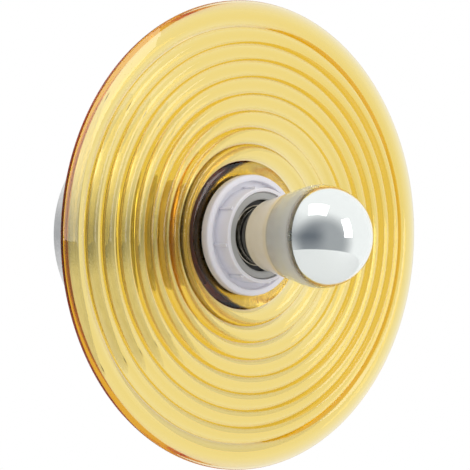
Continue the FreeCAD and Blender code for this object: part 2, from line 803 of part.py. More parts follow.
def bulb_contact():
    back = screwcap_back - insulator_h
    rise = tip_h * 0.3
    edges = [line(at(0, back), at(tip_r, back)), line(at(tip_r, back), at(tip_r, back - tip_h + rise)),
             arc(at(tip_r, back - tip_h + rise), at(tip_r * 0.72, back - tip_h + rise * 0.5),
                 at(tip_r * 0.5, back - tip_h)),
             line(at(tip_r * 0.5, back - tip_h), at(0, back - tip_h)), line(at(0, back - tip_h), at(0, back))]
    return turned(edges)


def stem_foot():
    return screwcap_front - neck_in_cap


def bulb_stem():
    """Glass stem: a flared foot sealed in the neck and a rod that carries the lead wires."""
    foot = stem_foot()
    foot_r = neck_root_r - bulb_glass_t
    return turned_polygon([at(0, foot + 1), at(foot_r - 1, foot), at(foot_r, foot), at(foot_r, foot + 1),
                           at(stem_r, foot + 6), at(stem_r, foot + stem_l), at(0, foot + stem_l)])


def lead_path(side):
    foot = stem_foot()
    top = foot + stem_l
    return [place(side * stem_r / 2, top, 0), place(side * stem_r / 2, top + lead_straight, 0),
            place(side * lead_x, top + lead_spread, 0), place(side * lead_x, foot + lead_l, 0)]


def bulb_leads():
    """Two support wires from the stem's tip to the ends of the filament."""
    made = []
    for side in (1, -1):
        points = lead_path(side)
        piece = None
        for a, b in zip(points, points[1:]):
            run = rod(lead_r, a, b - a, (b - a).Length)
            ball = Part.makeSphere(lead_r, b)
            piece = run.fuse(ball) if piece is None else piece.fuse(run).fuse(ball)
        made.append(piece.removeSplitter())
    return Part.makeCompound(made)


def bulb_filament():
    """Coiled filament, as a plain bow between the tops of the support wires."""
    depth = stem_foot() + lead_l + lead_r + filament_r
    ends = (place(-lead_x, depth, 0), place(lead_x, depth, 0))
    bow = arc(ends[0], place(0, depth + filament_sag, 0), ends[1])
    start = bow.FirstParameter
    section = Part.Wire(Part.makeCircle(filament_r, bow.valueAt(start), bow.tangentAt(start)))
    return Part.Wire([bow]).makePipeShell([section], True, False)


# ---- wires ------------------------------------------------------------------------------------
def holder_wire(name, side):
    """From the terminal block's upper end, forward through the entry bush, to the insert's terminal."""
    start_z = block_z + insert_tube_l / 2 - wire_into_block
    entry = skirt_back - cap_straight - cap_dome - cap_boss_l
    end = insert_back - terminal_h
    pole = side * block_pole_pitch if side < 0 else 0
    points = [place(pole, block_bore, start_z),
              place(pole, block_bore + 0.8, start_z + 14),
              place(pole * 0.75 + side * 1.2, block_bore + 9, start_z + 21),
              place(side * 1.6, entry - 9, -1.2),
              place(side * 1.5, entry + 2.5, 0),
              place(side * 3.2, entry + 9, 1.2),
              place(side * terminal_x, end - 5.5, terminal_wire_z),
              place(side * terminal_x, end + wire_into_terminal, terminal_wire_z)]
    return wire(name, points)


def live_wire():
    return holder_wire("live_wire", -1)


def neutral_wire():
    return holder_wire("neutral_wire", 1)


def earth_wire():
    """From the last pole of the block to the ring tag on the wall plate."""
    start_z = block_z + insert_tube_l / 2 - wire_into_block
    barrel_depth = plate_t + wire_r + wire_gap + tag_t
    tag_end = tag_barrel_top() - tag_barrel_l
    points = [place(block_pole_pitch, block_bore, start_z),
              place(block_pole_pitch, block_bore + 0.4, start_z + 9),
              place(earth_x, barrel_depth, tag_end - 7.8),
              place(earth_x, barrel_depth, tag_end + wire_into_terminal)]
    return wire("earth_wire", points)


NODES = {
    "wall_plate": wall_plate,
    "cable_grommet": cable_grommet,
    "terminal_block": terminal_block,
    "terminal_inserts": terminal_inserts,
    "terminal_screws": terminal_screws,
    "terminal_block_screw": terminal_block_screw,
    "earth_screw": earth_screw,
    "earth_tag": earth_tag,
    "base_cup": base_cup,
    "cup_screws": cup_screws,
    "rear_gasket": rear_gasket,
    "rear_ring": rear_ring,
    "holder_skirt": holder_skirt,
    "holder_insert": holder_insert,
    "screw_shell": screw_shell,
    "centre_contact": centre_contact,
    "holder_rivets": rivets,
    "holder_terminals": holder_terminals,
    "holder_terminal_screws": holder_terminal_screws,
    "holder_cap": holder_cap,
    "entry_bush": entry_bush,
    "live_wire": live_wire,
    "neutral_wire": neutral_wire,
    "earth_wire": earth_wire,
    "glass_disc": glass_disc,
    "front_gasket": front_gasket,
    "shade_ring": shade_ring,
    "bulb_contact": bulb_contact,
    "bulb_glass": bulb_glass,
    "bulb_mirror": bulb_mirror,
    "bulb_cap": bulb_cap,
    "bulb_insulator": bulb_insulator,
    "bulb_stem": bulb_stem,
    "bulb_leads": bulb_leads,
    "bulb_filament": bulb_filament,
}

os.makedirs("parts", exist_ok=True)
for node, make in NODES.items():
    shape = make()
    solids = len(shape.Solids)
    print(f"{node}: {solids} solid(s), valid {shape.isValid()}, volume {shape.Volume:.1f}")
    shape.exportStep(f"parts/{node}.step")
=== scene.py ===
"""Wall light with a ribbed amber glass disc and a crown-silvered bulb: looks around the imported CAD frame.

The scene is in metres, and this script's sizes are in millimetres unless they say otherwise. "Depth" is
the distance in front of the wall, so a point at depth d has y = -d. The lamp's axis is the Y axis.
"""
import json
import math

import bmesh
import bpy
from mathutils import Matrix, Vector


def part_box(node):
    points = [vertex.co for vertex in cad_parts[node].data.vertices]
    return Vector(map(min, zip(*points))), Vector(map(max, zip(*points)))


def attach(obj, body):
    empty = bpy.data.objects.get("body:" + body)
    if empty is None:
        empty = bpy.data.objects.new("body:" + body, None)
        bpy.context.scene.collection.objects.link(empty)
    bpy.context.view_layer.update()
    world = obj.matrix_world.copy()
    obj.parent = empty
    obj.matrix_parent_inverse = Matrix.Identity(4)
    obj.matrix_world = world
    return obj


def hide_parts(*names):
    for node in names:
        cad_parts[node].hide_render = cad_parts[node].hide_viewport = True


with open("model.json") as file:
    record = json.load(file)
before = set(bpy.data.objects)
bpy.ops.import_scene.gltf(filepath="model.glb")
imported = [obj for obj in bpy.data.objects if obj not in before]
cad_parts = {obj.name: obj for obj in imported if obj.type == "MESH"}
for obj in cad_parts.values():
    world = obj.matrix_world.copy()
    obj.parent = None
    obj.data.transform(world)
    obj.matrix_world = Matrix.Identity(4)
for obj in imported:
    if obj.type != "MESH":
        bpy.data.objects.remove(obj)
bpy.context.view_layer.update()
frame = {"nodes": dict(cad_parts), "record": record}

MM = 0.001

# ---- camera ---------------------------------------------------------------------------------------
CAMERA_AT = Vector((-0.4002, -0.5338, 0.0))      # metres
CAMERA_LOOKS = Vector((0.6533, 0.7571, 0.0))
CAMERA_ROLL = 0.9                                # degrees
CLIP_START = 0.01                                # metres
SENSOR = 36.0
LENS = 100.57021

camera_data = bpy.data.cameras.new("camera")
camera_data.sensor_width = SENSOR
camera_data.lens = LENS
camera_data.clip_start = CLIP_START
camera = bpy.data.objects.new("camera", camera_data)
bpy.context.scene.collection.objects.link(camera)
aim = CAMERA_LOOKS.to_track_quat("-Z", "Y").to_matrix().to_4x4()
roll = Matrix.Rotation(math.radians(CAMERA_ROLL), 4, "Z")
camera.matrix_world = Matrix.Translation(CAMERA_AT) @ aim @ roll
bpy.context.scene.camera = camera

# ---- sizes from the frame -------------------------------------------------------------------------


def node_span(node):
    """Back depth, front depth and outer radius of a turned CAD node, in mm."""
    low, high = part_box(node)
    return -high.y / MM, -low.y / MM, high.x / MM


DISC_BACK, _, DISC_R = node_span("glass_disc")
RING_BACK, _, RING_R = node_span("shade_ring")
_, REAR_FRONT, _ = node_span("rear_ring")
SKIRT_BACK, SKIRT_FRONT, SKIRT_R = node_span("holder_skirt")
_, _, INSERT_R = node_span("holder_insert")
SHELL_BACK, SHELL_FRONT, SHELL_R = node_span("screw_shell")
CAP_BACK, CAP_FRONT, CAP_R = node_span("bulb_cap")
GLASS_BACK, BALL_POLE, BALL_R = node_span("bulb_glass")
BALL_DEPTH = BALL_POLE - BALL_R

# ---- sizes that several pieces share --------------------------------------------------------------
SEAT_GAP = 0.1               # between fixed pieces that fit inside each other
RING_PITCH = 2.5             # thread of the skirt and its rings
CAP_PITCH = 3.629            # thread of the bulb's cap and its shell
THREAD_STEPS = 144           # steps round a threaded piece
BULB_STEPS = 160             # steps round the bulb's glass

# ---- mesh helpers ---------------------------------------------------------------------------------
CORNER_STEPS = 5             # on each rounded corner
THREAD_FADE = 1.5            # length over which a thread runs out
STEPS_PER_PITCH = 12
FEWEST_THREAD_STEPS = 8
ON_AXIS = 1e-6               # a smaller radius is a point on the axis


def link(name, mesh):
    """A smooth-shaded object in the scene."""
    obj = bpy.data.objects.new(name, mesh)
    bpy.context.scene.collection.objects.link(obj)
    mesh.polygons.foreach_set("use_smooth", [True] * len(mesh.polygons))
    return obj


def swing(start, end):
    """The turn from one angle to another, the shorter way round."""
    return (end - start + math.pi) % (2 * math.pi) - math.pi


def rounded(corners):
    """A closed outline from corners of (radius, depth, rounding), in mm."""
    out = []
    count = len(corners)
    for i, (x, y, rounding) in enumerate(corners):
        if rounding <= 0:
            out.append((x, y))
            continue
        here = Vector((x, y))
        before = (Vector(corners[i - 1][:2]) - here).normalized()
        after = (Vector(corners[(i + 1) % count][:2]) - here).normalized()
        half = before.angle(after) / 2
        reach = rounding / math.tan(half)
        centre = here + (before + after).normalized() * (rounding / math.sin(half))
        start, end = here + before * reach, here + after * reach
        first = math.atan2(start.y - centre.y, start.x - centre.x)
        sweep = swing(first, math.atan2(end.y - centre.y, end.x - centre.x))
        for k in range(CORNER_STEPS + 1):
            a = first + sweep * k / CORNER_STEPS
            out.append((centre.x + rounding * math.cos(a), centre.y + rounding * math.sin(a)))
    return out


def thread_wave(phase):
    """0 at the root and 1 at the crest of a rounded thread."""
    return 0.5 + 0.5 * math.cos(2 * math.pi * phase)


def turn_outline(bm, outline, steps, pitch=None):
    """Turn a closed outline of (radius, depth[, thread depth]) once round the lamp's axis, in mm.
    A point with a thread depth sinks by up to that much between the crests of a right-handed thread."""
    loops = []
    for point in outline:
        radius, depth = point[:2]
        sink = point[2] if len(point) > 2 else 0.0
        if radius < ON_AXIS:
            loops.append([bm.verts.new((0, -depth * MM, 0))])
            continue
        loop = []
        for k in range(steps):
            a = 2 * math.pi * k / steps
            r = radius
            if sink:
                r -= sink * (1 - thread_wave(depth / pitch - a / (2 * math.pi)))
            loop.append(bm.verts.new((r * math.cos(a) * MM, -depth * MM, r * math.sin(a) * MM)))
        loops.append(loop)
    for a, b in zip(loops, loops[1:] + loops[:1]):
        if len(a) == 1 and len(b) == 1:
            continue
        for k in range(steps):
            n = (k + 1) % steps
            if len(a) == 1:
                bm.faces.new((a[0], b[n], b[k]))
            elif len(b) == 1:
                bm.faces.new((a[k], a[n], b[0]))
            else:
                bm.faces.new((a[k], a[n], b[n], b[k]))


def closed_mesh(name, bm):
    """The mesh of a closed shape, with its faces turned outward."""
    bmesh.ops.recalc_face_normals(bm, faces=bm.faces)
    mesh = bpy.data.meshes.new(name)
    bm.to_mesh(mesh)
    bm.free()
    return mesh


def turned_mesh(name, outline, steps, pitch=None):
    bm = bmesh.new()
    turn_outline(bm, outline, steps, pitch)
    return closed_mesh(name, bm)


def threaded_run(radius, start, end, depth, pitch):
    """Points along a threaded wall from one depth to another; the thread fades in and out."""
    length = abs(end - start)
    count = max(FEWEST_THREAD_STEPS, int(length / pitch * STEPS_PER_PITCH))
    run = []
    for k in range(count + 1):
        t = k / count
        near = min(t * length, (1 - t) * length)
        run.append((radius, start + (end - start) * t, depth * min(1.0, near / THREAD_FADE)))
    return run


def mark_sharp(obj, degrees):
    """Shade edges that turn more than this as sharp."""
    bm = bmesh.new()
    bm.from_mesh(obj.data)
    limit = math.radians(degrees)
    for edge in bm.edges:
        if len(edge.link_faces) == 2 and edge.calc_face_angle(0) > limit:
            edge.smooth = False
    bm.to_mesh(obj.data)
    bm.free()


def finish_piece(name, mesh, body, slot, node, sharp):
    """Put a piece in the scene in place of a CAD node; edges over the angle `sharp` stay sharp."""
    obj = link(name, mesh)
    obj.data.materials.append(materials[slot])
    mark_sharp(obj, sharp)
    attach(obj, body)
    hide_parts(node)
    return obj


# ---- materials ------------------------------------------------------------------------------------
MIX_FACTOR, MIX_A, MIX_B, MIX_RESULT = 0, 6, 7, 2      # sockets of a Mix node for colours
NOISE_LOW, NOISE_HIGH = 0.3, 0.7                       # nearly all of a noise's factor lies between these
PLASTIC_IOR = 1.5
LIGHT_SHARE = 0.6            # pale patches differ from the colour by this share of the dark ones' spread
LEAST_ROUGH = 0.02
GRAIN_HEIGHT = 0.0004        # metres
WAVE_HEIGHT = 0.001          # metres
GLASS_ROUGH_SPREAD = 0.4     # share of the roughness
SPECK_R = 0.25               # a speck's radius in cells
SPECK_COVER = 0.5
WEAR_FROM, WEAR_TO = 0.53, 0.62                        # pointiness at which wear starts and is full
WEAR_COVER = 0.7
SUBSURFACE_RADIUS = (0.004, 0.003, 0.0025)             # metres
SUBSURFACE_SCALE = 0.5

# the bulb's glass: a pale, less clear band behind the silvering's edge, and an opaque band round the neck
# whose cream tint is painted warm light from the amber glass
PALE_BAND_STARTS = BALL_DEPTH + 4.0
PALE_BAND_FULL = BALL_DEPTH + 1.0
PALE_BAND_COVER = 0.42
PALE_BAND_COLOR = (0.97, 0.98, 0.97)
CREAM_STARTS = CAP_FRONT + 21.5
CREAM_FULL = CAP_FRONT + 19.5
CREAM_COVER = 0.80
# the cream is painted warm light: the amber glass's glow laid into the neck band's colour
PAINTED_WARM_CREAM = (0.90, 0.82, 0.64)

materials = {}


class Nodes:
    """Short names for building a node tree."""

    def __init__(self, tree):
        self.tree = tree
        tree.nodes.clear()

    def add(self, kind, values=None, **settings):
        node = self.tree.nodes.new(kind)
        for key, value in settings.items():
            setattr(node, key, value)
        for key, value in (values or {}).items():
            node.inputs[key].default_value = value
        return node

    def join(self, a, out, b, into):
        self.tree.links.new(a.outputs[out], b.inputs[into])


def ramp(n, source, out, low, high, to_low, to_high):
    """Map low..high of a value to to_low..to_high, and hold it there outside them."""
    limits = {"From Min": low, "From Max": high, "To Min": to_low, "To Max": to_high}
    node = n.add("ShaderNodeMapRange", limits)
    n.join(source, out, node, "Value")
    return node


def math_of(n, kind, a, a_out, b, b_out):
    node = n.add("ShaderNodeMath", operation=kind)
    n.join(a, a_out, node, 0)
    n.join(b, b_out, node, 1)
    return node


def tinted(n, source, out, dark, light):
    """From one colour at 0 to another at 1."""
    mix = n.add("ShaderNodeMix", data_type="RGBA")
    mix.inputs[MIX_A].default_value = (*dark, 1)
    mix.inputs[MIX_B].default_value = (*light, 1)
    n.join(source, out, mix, MIX_FACTOR)
    return mix


def covered(n, under, amount, color):
    """A colour laid over a Mix node's colour, as thick as the amount."""
    mix = n.add("ShaderNodeMix", data_type="RGBA")
    mix.inputs[MIX_B].default_value = (*color, 1)
    n.join(amount, "Result", mix, MIX_FACTOR)
    n.join(under, MIX_RESULT, mix, MIX_A)
    return mix


def new_material(slot, values):
    """A material with a Principled shader that has these values; its tree, output, shader, coordinates."""
    mat = bpy.data.materials.new(slot)
    mat.use_nodes = True
    n = Nodes(mat.node_tree)
    out = n.add("ShaderNodeOutputMaterial")
    shader = n.add("ShaderNodeBsdfPrincipled", values)
    n.join(shader, "BSDF", out, "Surface")
    materials[slot] = mat
    return n, out, shader, n.add("ShaderNodeTexCoord")


def add_bump(n, height, shader, strength, distance):
    bump = n.add("ShaderNodeBump", {"Strength": strength, "Distance": distance})
    n.join(height, "Fac", bump, "Height")
    n.join(bump, "Normal", shader, "Normal")


def surface(slot, color, rough, metallic=0.0, grain=0.0006, grain_bump=0.05, spread=0.12, patch=0.012,
            rough_spread=0.08, wear=None, subsurface=0.0, specks=None):
    """A procedural surface: patches of tone, a fine grain in roughness and bump, and worn edges.
    grain, patch and the size in specks are in metres."""
    n, _, shader, where = new_material(slot, {"Metallic": metallic, "IOR": PLASTIC_IOR})
    if subsurface:
        shader.inputs["Subsurface Weight"].default_value = subsurface
        shader.inputs["Subsurface Radius"].default_value = SUBSURFACE_RADIUS
        shader.inputs["Subsurface Scale"].default_value = SUBSURFACE_SCALE
    patches = n.add("ShaderNodeTexNoise", {"Scale": 1 / patch, "Detail": 4.0, "Roughness": 0.6})
    n.join(where, "Object", patches, "Vector")
    fine = n.add("ShaderNodeTexNoise", {"Scale": 1 / grain, "Detail": 3.0, "Roughness": 0.65})
    n.join(where, "Object", fine, "Vector")
    dark = [c * (1 - spread) for c in color]
    light = [min(1.0, c * (1 + spread * LIGHT_SHARE)) for c in color]
    tone = tinted(n, ramp(n, patches, "Fac", NOISE_LOW, NOISE_HIGH, 0, 1), "Result", dark, light)
    if specks:
        speck_color, speck_size = specks
        dots = n.add("ShaderNodeTexVoronoi", {"Scale": 1 / speck_size, "Randomness": 1.0})
        n.join(where, "Object", dots, "Vector")
        tone = covered(n, tone, ramp(n, dots, "Distance", 0.0, SPECK_R, SPECK_COVER, 0.0), speck_color)
    if wear:
        shape = n.add("ShaderNodeNewGeometry")
        tone = covered(n, tone, ramp(n, shape, "Pointiness", WEAR_FROM, WEAR_TO, 0.0, WEAR_COVER), wear)
    n.join(tone, MIX_RESULT, shader, "Base Color")
    both = math_of(n, "ADD", patches, "Fac", fine, "Fac")
    least, most = max(LEAST_ROUGH, rough - rough_spread), min(1.0, rough + rough_spread)
    n.join(ramp(n, both, "Value", 2 * NOISE_LOW, 2 * NOISE_HIGH, least, most), "Result", shader, "Roughness")
    if grain_bump:
        add_bump(n, fine, shader, grain_bump, GRAIN_HEIGHT)


def bulb_bands(n, where, shader):
    """A pale, less clear band behind the silvering's edge, and round the neck a band tinted cream as painted
    warm light from the amber glass; both by depth.
    """
    axes = n.add("ShaderNodeSeparateXYZ")
    n.join(where, "Object", axes, 0)
    pale_band = ramp(n, axes, "Y", -PALE_BAND_STARTS * MM, -PALE_BAND_FULL * MM, 1.0, 1.0 - PALE_BAND_COVER)
    cream = ramp(n, axes, "Y", -CREAM_STARTS * MM, -CREAM_FULL * MM, 0.0, 1.0)
    through_cream = ramp(n, cream, "Result", 0.0, 1.0, 1.0, 1.0 - CREAM_COVER)
    clearness = math_of(n, "MINIMUM", pale_band, "Result", through_cream, "Result")
    n.join(clearness, "Value", shader, "Transmission Weight")
    # the neck band's cream tint is painted warm light from the amber glass
    n.join(tinted(n, cream, "Result", PALE_BAND_COLOR, PAINTED_WARM_CREAM), MIX_RESULT, shader, "Base Color")


def clear(slot, color, ior, rough, waviness, wave_size, absorb=None, density=0.0, bands=None):
    """Glass or clear rubber: refracting, a little uneven, and tinted in the mass. wave_size is in metres."""
    values = {"Base Color": (*color, 1), "IOR": ior, "Transmission Weight": 1.0}
    n, out, shader, where = new_material(slot, values)
    noise = n.add("ShaderNodeTexNoise", {"Scale": 1 / wave_size, "Detail": 2.0})
    n.join(where, "Object", noise, "Vector")
    least, most = rough * (1 - GLASS_ROUGH_SPREAD), rough * (1 + GLASS_ROUGH_SPREAD)
    n.join(ramp(n, noise, "Fac", NOISE_LOW, NOISE_HIGH, least, most), "Result", shader, "Roughness")
    add_bump(n, noise, shader, waviness, WAVE_HEIGHT)
    if bands:
        bands(n, where, shader)
    if absorb:
        volume = n.add("ShaderNodeVolumeAbsorption", {"Color": (*absorb, 1), "Density": density})
        n.join(volume, "Volume", out, "Volume")


surface("zinc_steel", (0.50, 0.51, 0.52), 0.42, metallic=1.0, grain=0.0009, spread=0.18, patch=0.004,
        wear=(0.75, 0.75, 0.76))
surface("black_rubber", (0.022, 0.022, 0.023), 0.62, grain=0.0004, spread=0.25, wear=(0.06, 0.06, 0.06))
surface("white_nylon", (0.80, 0.80, 0.77), 0.45, grain=0.0005, spread=0.05, subsurface=0.15)
surface("brass", (0.72, 0.50, 0.20), 0.26, metallic=1.0, grain=0.0004, spread=0.15, patch=0.003)
surface("screw_steel", (0.58, 0.58, 0.60), 0.30, metallic=1.0, grain=0.0003, spread=0.15, patch=0.002,
        wear=(0.8, 0.8, 0.8))
surface("tinned_copper", (0.66, 0.64, 0.60), 0.33, metallic=1.0, grain=0.0003, spread=0.12, patch=0.002)
surface("satin_aluminium", (0.92, 0.91, 0.88), 0.19, metallic=1.0, grain=0.0011, grain_bump=0.35,
        spread=0.10, patch=0.006, rough_spread=0.10, wear=(0.8, 0.8, 0.8))
surface("white_plastic", (0.78, 0.77, 0.82), 0.32, grain=0.0005, grain_bump=0.03, spread=0.03,
        subsurface=0.12)
surface("holder_plastic", (0.46, 0.465, 0.46), 0.36, grain=0.0005, grain_bump=0.03, spread=0.06)
surface("black_phenolic", (0.012, 0.012, 0.012), 0.35, spread=0.3, specks=((0.05, 0.045, 0.04), 0.001))
surface("shell_metal", (0.62, 0.58, 0.50), 0.24, metallic=1.0, grain=0.0004, patch=0.003)
surface("brown_insulation", (0.13, 0.045, 0.016), 0.42, grain=0.0004)
surface("blue_insulation", (0.02, 0.08, 0.32), 0.42, grain=0.0004)
surface("green_insulation", (0.10, 0.32, 0.03), 0.42, grain=0.0004)
surface("solder", (0.58, 0.58, 0.58), 0.38, metallic=1.0, grain=0.0004, grain_bump=0.3, spread=0.15,
        patch=0.0015)
surface("silver_mirror", (0.93, 0.94, 0.95), 0.03, metallic=1.0, grain=0.004, grain_bump=0.0, spread=0.01,
        rough_spread=0.012)
surface("cap_metal", (0.72, 0.70, 0.66), 0.20, metallic=1.0, grain=0.0004, spread=0.10, patch=0.003)
surface("black_vitrite", (0.012, 0.012, 0.018), 0.12, grain=0.0008, spread=0.2)
surface("support_wire", (0.50, 0.47, 0.43), 0.30, metallic=1.0, grain=0.0003, spread=0.1, patch=0.001)
surface("tungsten", (0.18, 0.18, 0.19), 0.45, metallic=1.0, grain=0.0002, spread=0.1, patch=0.001)

GLASS_TINT = (0.7, 0.95, 0.8)
AMBER_TINT = (0.9576, 0.818, 0.03)
clear("clear_rubber", (0.92, 0.90, 0.84), ior=1.42, rough=0.35, waviness=0.1, wave_size=0.002)
clear("clear_glass", (0.985, 0.99, 0.985), ior=1.50, rough=0.012, waviness=0.04, wave_size=0.008,
      absorb=GLASS_TINT, density=30.0)
clear("neck_glass", (0.99, 0.99, 0.99), ior=1.50, rough=0.012, waviness=0.04, wave_size=0.008,
      absorb=GLASS_TINT, density=30.0, bands=bulb_bands)
clear("amber_glass", (0.93, 0.92, 0.97), ior=1.52, rough=0.014, waviness=0.05, wave_size=0.012,
      absorb=AMBER_TINT, density=330.0)

slots = {row["node"]: row["material_slot"] for row in frame["record"]["subparts"]}
for node, obj in frame["nodes"].items():
    obj.data.materials.clear()
    obj.data.materials.append(materials[slots[node]])

# ---- glass disc -----------------------------------------------------------------------------------
GLASS_T = 4.5
HOLE_GAP = 1.05              # glass hole to skirt, on the radius
HUB_MARGIN = 1.1             # flat hub past the shade ring
DISH_RISE = 10.2             # highest ring of the front over the hub
RIM_DROP = 2.2               # the rim falls back from the highest ring
FIRST_RIB_W = 5.4            # hub to the innermost groove
RIM_BAND_W = 11.7            # outermost groove to the edge
GROOVES = 9
CREST_GROOVE = 5.25          # highest place of the dish, in grooves from the innermost
RIB_DEPTH = 2.8
RIB_FADE = 5.0               # width of the last half rib, which fades into the rim band
EDGE_T = 1.6                 # the rim thins to this, with a fully rounded edge
THIN_FROM_GROOVE = 3.5       # outermost groove to where the back starts to thin
DISC_STEPS = 256             # round the disc
RIB_STEPS = 18               # across a rib
EDGE_STEPS = 12              # round the edge

HOLE_R = SKIRT_R + HOLE_GAP
HUB_R = RING_R + HUB_MARGIN
HUB_FRONT = DISC_BACK + GLASS_T
RIB_FIRST = HUB_R + FIRST_RIB_W
RIB_LAST = DISC_R - RIM_BAND_W
RIB_PITCH = (RIB_LAST - RIB_FIRST) / (GROOVES - 1)
RIB_ARC = ((RIB_PITCH / 2) ** 2 + RIB_DEPTH ** 2) / (2 * RIB_DEPTH)
RIB_LEAN = math.asin(RIB_PITCH / 2 / RIB_ARC)
CREST_R = RIB_FIRST + CREST_GROOVE * RIB_PITCH
THIN_START = RIB_LAST + THIN_FROM_GROOVE
EDGE_ROUND = EDGE_T / 2
EDGE_START = DISC_R - EDGE_ROUND


def glass_front(radius):
    """Depth of the disc's front over the ribs."""
    if radius <= HUB_R:
        return HUB_FRONT
    crest = HUB_FRONT + DISH_RISE
    if radius <= CREST_R:
        return crest - DISH_RISE * ((CREST_R - radius) / (CREST_R - HUB_R)) ** 2
    return crest - RIM_DROP * ((radius - CREST_R) / (DISC_R - CREST_R)) ** 2


def groove_depth(radius):
    """How far the ribbed front lies behind its crests."""
    if radius <= HUB_R:
        return 0.0
    if radius <= RIB_FIRST:
        return RIB_DEPTH * ((radius - HUB_R) / (RIB_FIRST - HUB_R)) ** 2
    if radius <= RIB_LAST:
        across = ((radius - RIB_FIRST) / RIB_PITCH) % 1.0
        x = (across - 0.5) * RIB_PITCH
        return RIB_ARC - math.sqrt(RIB_ARC ** 2 - x ** 2)
    if radius <= RIB_LAST + RIB_FADE:
        return RIB_DEPTH * (1 - (radius - RIB_LAST) / RIB_FADE) ** 2
    return 0.0


def glass_back(radius):
    """Depth of the smooth back: one thickness behind the front, thinned to the edge outside the ribs."""
    thin = max(0.0, (radius - THIN_START) / (EDGE_START - THIN_START))
    return glass_front(radius) - GLASS_T + (GLASS_T - EDGE_T) * thin ** 2


def spaced(start, end, count):
    """Even steps from start, without the end."""
    return [start + (end - start) * k / count for k in range(count)]


def disc_outline():
    front = spaced(HOLE_R, HUB_R, 4) + spaced(HUB_R, RIB_FIRST, 10)
    for i in range(GROOVES - 1):
        middle = RIB_FIRST + i * RIB_PITCH + RIB_PITCH / 2
        front += [middle + RIB_ARC * math.sin(RIB_LEAN * (2 * k / RIB_STEPS - 1)) for k in range(RIB_STEPS)]
    fade_end = RIB_LAST + RIB_FADE
    front += spaced(RIB_LAST, fade_end, 10) + spaced(fade_end, EDGE_START, 8) + [EDGE_START]
    outline = [(r, glass_front(r) - groove_depth(r)) for r in front]
    edge_depth = outline[-1][1] - EDGE_ROUND
    for k in range(1, EDGE_STEPS):
        a = math.pi / 2 - math.pi * k / EDGE_STEPS
        outline.append((EDGE_START + EDGE_ROUND * math.cos(a), edge_depth + EDGE_ROUND * math.sin(a)))
    back = spaced(EDGE_START, THIN_START, 16) + spaced(THIN_START, HUB_R, 50) + [HUB_R, HOLE_R]
    return outline + [(r, glass_back(r)) for r in back]


finish_piece("amber_disc", turned_mesh("amber_disc", disc_outline(), DISC_STEPS), "shade", "amber_glass",
             "glass_disc", sharp=50)

# ---- shade ring and rear ring ---------------------------------------------------------------------
THREAD_GAP = 0.3             # ring bore to the skirt's thread, on the radius
RING_THREAD = 0.35           # depth of the ring's thread
COLLAR_T = 1.65
FLANGE_T = 4.6
FLOOR_T = 1.6                # flange under the recess between bead and collar
BEAD_W = 3.0                 # radial width of the outer bead
BEAD_ROUND = 1.2
BEAD_IN_ROUND = 0.5
BACK_ROUND = 0.4
RECESS_ROUND = 0.5
LIP_ROUND = 0.66
SHADE_RECESS_W, SHADE_COLLAR_H = 3.2, 11.2
REAR_RECESS_W, REAR_COLLAR_H = 0.3, 12.0
FINS = 8
FIN_TURN = 33.0              # first fin, degrees round from the top
FIN_HALF_W = 0.75
FIN_TIP_HALF_W = 0.4125
FIN_CHAMFER = 0.25
FIN_H = 0.8                  # over the collar
FIN_ROOT = 0.8               # sunk into the collar
FIN_SINK = 0.2               # sunk into the flange
FIN_STOP = 1.0               # behind the collar's front

RING_BORE = SKIRT_R + THREAD_GAP
COLLAR_R = RING_BORE + COLLAR_T


def fin(bm, angle, back, front):
    """A small chamfered rib along a ring's collar."""
    root, top = COLLAR_R - FIN_ROOT, COLLAR_R + FIN_H
    half_section = [(root, FIN_HALF_W), (top - FIN_CHAMFER, FIN_HALF_W), (top, FIN_TIP_HALF_W)]
    section = half_section + [(r, -side) for r, side in reversed(half_section)]
    count = len(section)
    corners = []
    for depth in (back, front):
        for r, side in section:
            x = r * math.cos(angle) - side * math.sin(angle)
            z = r * math.sin(angle) + side * math.cos(angle)
            corners.append(bm.verts.new((x * MM, -depth * MM, z * MM)))
    for k in range(count):
        n = (k + 1) % count
        bm.faces.new((corners[k], corners[n], corners[n + count], corners[k + count]))
    bm.faces.new(corners[:count])
    bm.faces.new(corners[count:])


def ring_mesh(name, recess_w, collar_h, back, forward):
    """A threaded ring: flange with a bead, a recess and a finned collar. forward is 1 or -1."""
    bead_in = COLLAR_R + recess_w
    outer = bead_in + BEAD_W
    recess_round = min(RECESS_ROUND, recess_w / 2)
    outline = rounded([(RING_BORE, 0, 0), (outer, 0, BACK_ROUND), (outer, FLANGE_T, BEAD_ROUND),
                       (bead_in, FLANGE_T, BEAD_IN_ROUND), (bead_in, FLOOR_T, recess_round),
                       (COLLAR_R, FLOOR_T, recess_round), (COLLAR_R, collar_h, LIP_ROUND),
                       (RING_BORE, collar_h, 0)])
    thread = threaded_run(RING_BORE, collar_h, 0.0, RING_THREAD, RING_PITCH)
    outline = outline[:-1] + thread[:-1]
    placed = [(r, back + forward * depth, *sink) for r, depth, *sink in outline]
    bm = bmesh.new()
    turn_outline(bm, placed, THREAD_STEPS, RING_PITCH)
    for i in range(FINS):
        angle = math.radians(90 - FIN_TURN - 360 / FINS * i)
        fin(bm, angle, back + forward * (FLOOR_T - FIN_SINK), back + forward * (collar_h - FIN_STOP))
    return closed_mesh(name, bm)


shade_ring = ring_mesh("white_shade_ring", SHADE_RECESS_W, SHADE_COLLAR_H, RING_BACK, 1)
finish_piece("white_shade_ring", shade_ring, "ring", "white_plastic", "shade_ring", sharp=40)
rear_ring = ring_mesh("white_rear_ring", REAR_RECESS_W, REAR_COLLAR_H, REAR_FRONT, -1)
finish_piece("white_rear_ring", rear_ring, "base", "white_plastic", "rear_ring", sharp=40)

